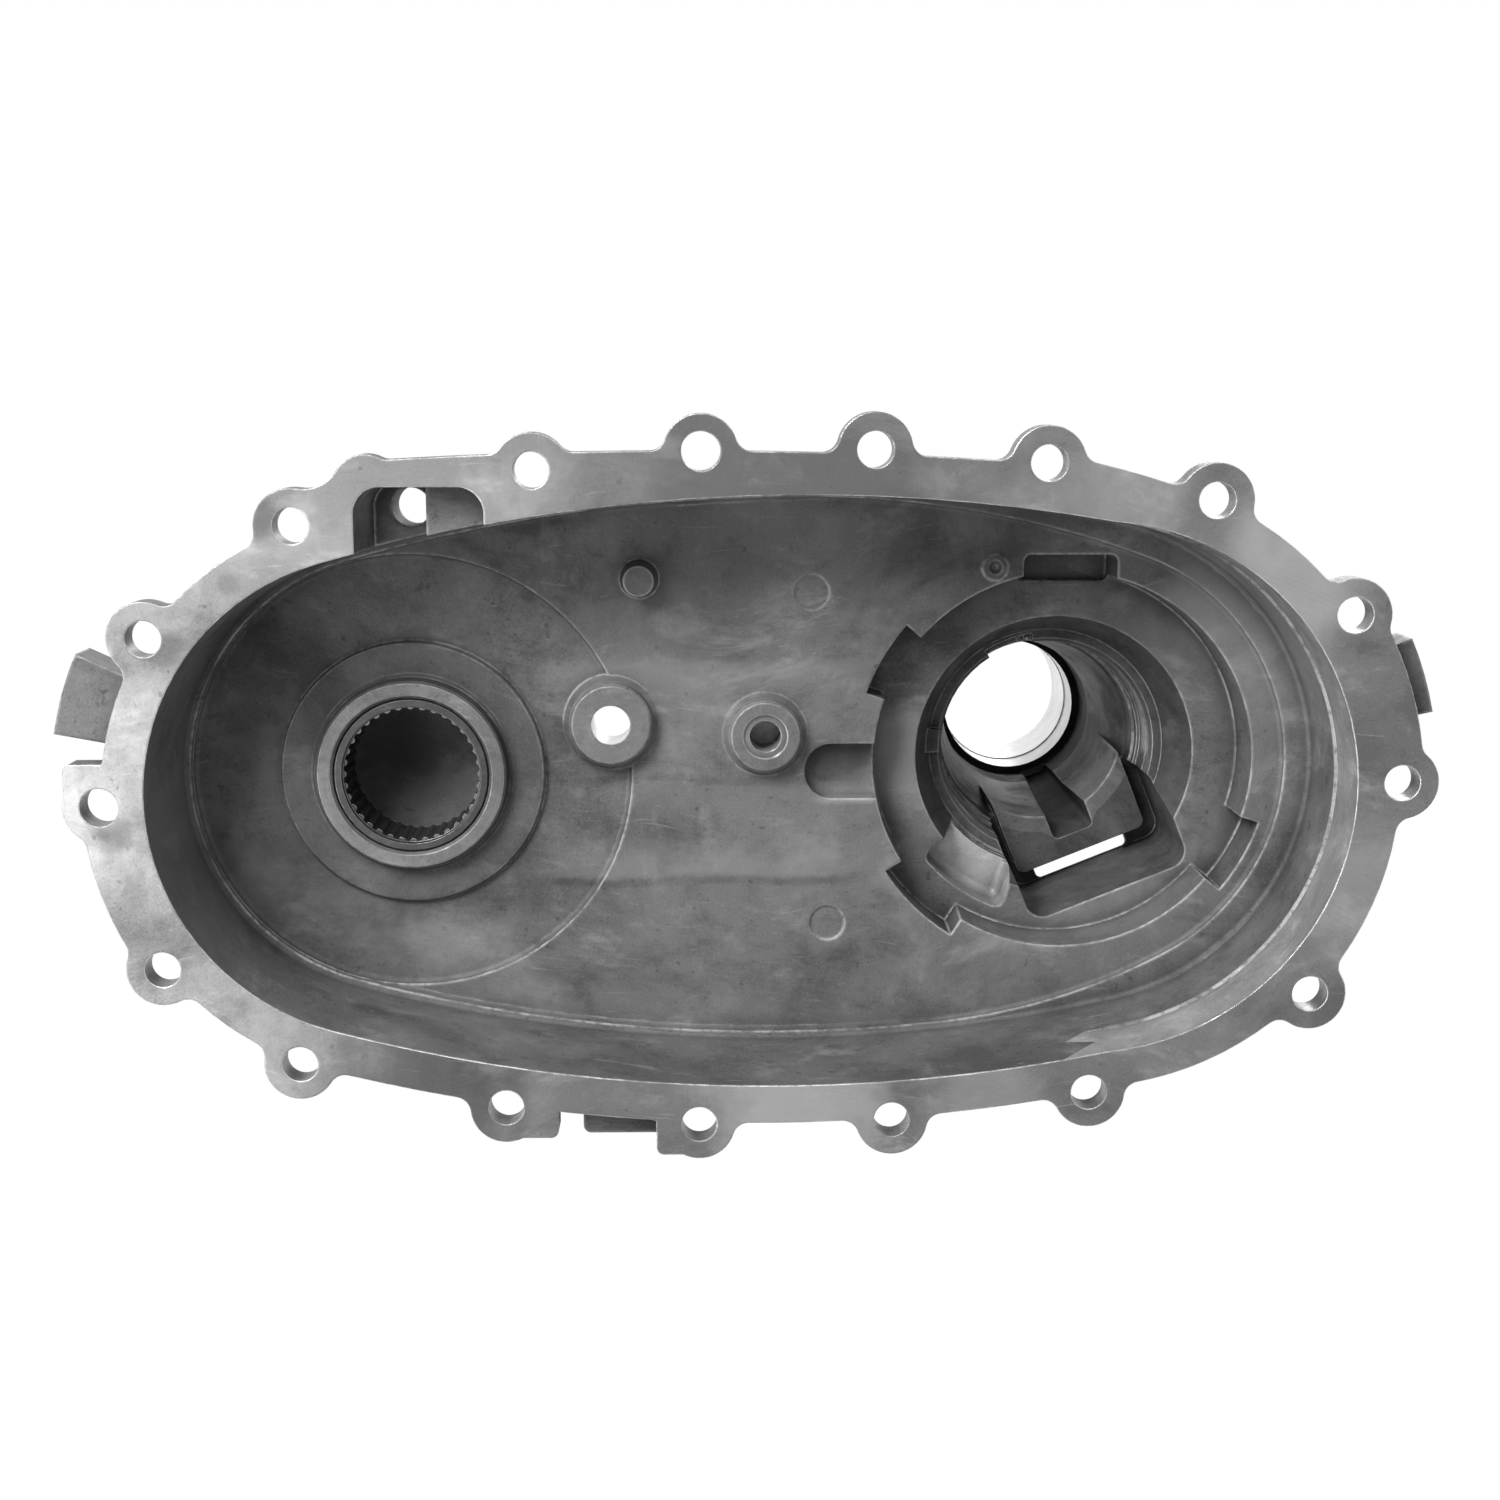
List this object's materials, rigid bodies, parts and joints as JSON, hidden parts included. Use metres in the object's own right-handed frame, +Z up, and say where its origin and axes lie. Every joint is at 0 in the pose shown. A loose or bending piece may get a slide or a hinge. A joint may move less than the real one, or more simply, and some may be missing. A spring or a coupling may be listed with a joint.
{
  "type": "transfer case housing half",
  "caption": "Oblong die cast housing half with a bolted rim, a tubular tail, a stepped main bore, a pump seat and a needle bearing seat.",
  "frame": {"origin": "on the mating face, at the axis of the main shaft", "axes": "+X to the right and +Z up as seen from the open side, +Y into the case along the shafts, towards the tail"},
  "size_m": [0.4246, 0.247, 0.2312],
  "materials": {
    "cast_aluminium": "die cast, with machined seats",
    "bearing_steel": "drawn and ground",
    "roller_steel": "ground",
    "bushing_metal": "bored smooth"
  },
  "bodies": {
    "root": {"case_half": "cast_aluminium", "needle_bearing_cup": "bearing_steel", "tail_bushing": "bushing_metal"},
    "needle_set": {"needle_bearing_cage": "bearing_steel", "needle_rollers": "roller_steel"}
  },
  "joints": [
    {"name": "needle_set_spin", "type": "hinge", "parent": "root", "child": "needle_set", "pos_m": [-0.2123, 0.0572, -0.0022], "axis": [0, 1, 0], "continuous": true}
  ]
}
